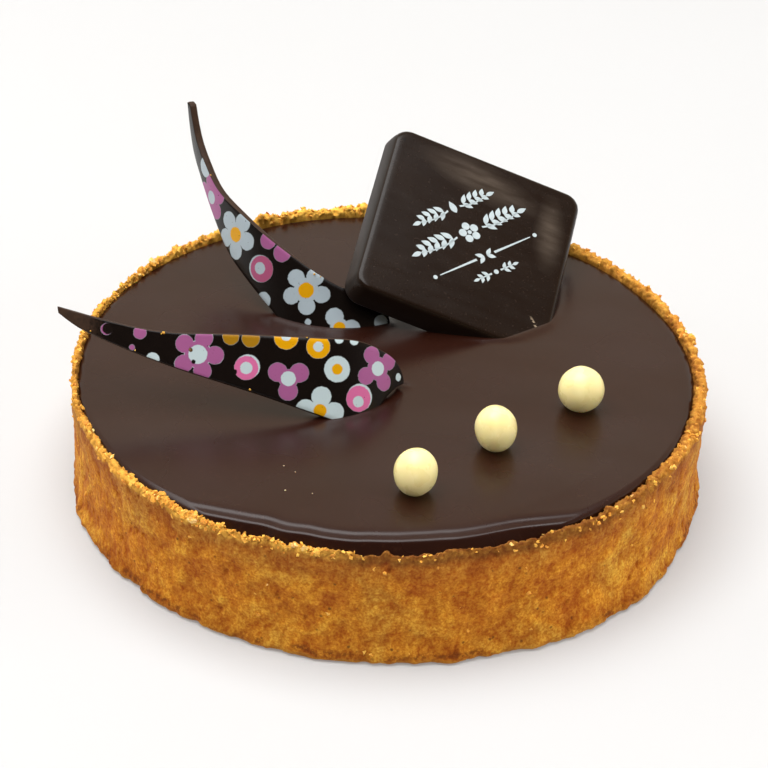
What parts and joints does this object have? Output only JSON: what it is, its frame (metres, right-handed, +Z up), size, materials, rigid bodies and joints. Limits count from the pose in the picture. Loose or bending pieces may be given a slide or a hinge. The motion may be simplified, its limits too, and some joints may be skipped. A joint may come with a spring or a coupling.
{
  "type": "chocolate tart",
  "caption": "Small round chocolate tart: a shortcrust case filled with glossy ganache, topped with curled printed chocolate blades, a square chocolate plaque and white pearls.",
  "frame": {"origin": "middle of the flat underside, on the surface the tart rests on", "axes": "+Z up; -Y is the front, the side that the pearls are nearest to; +X to the right seen from the front"},
  "size_m": [0.0809, 0.0807, 0.035],
  "materials": {
    "pastry": "matte",
    "ganache": "satin",
    "dark_chocolate": "satin",
    "white_chocolate": "gloss"
  },
  "bodies": {
    "root": {"pastry_case": "pastry", "ganache": "ganache", "blade_front": "dark_chocolate", "blade_rear": "dark_chocolate", "plaque": "dark_chocolate", "pearl_front": "white_chocolate", "pearl_middle": "white_chocolate", "pearl_right": "white_chocolate"}
  },
  "joints": []
}
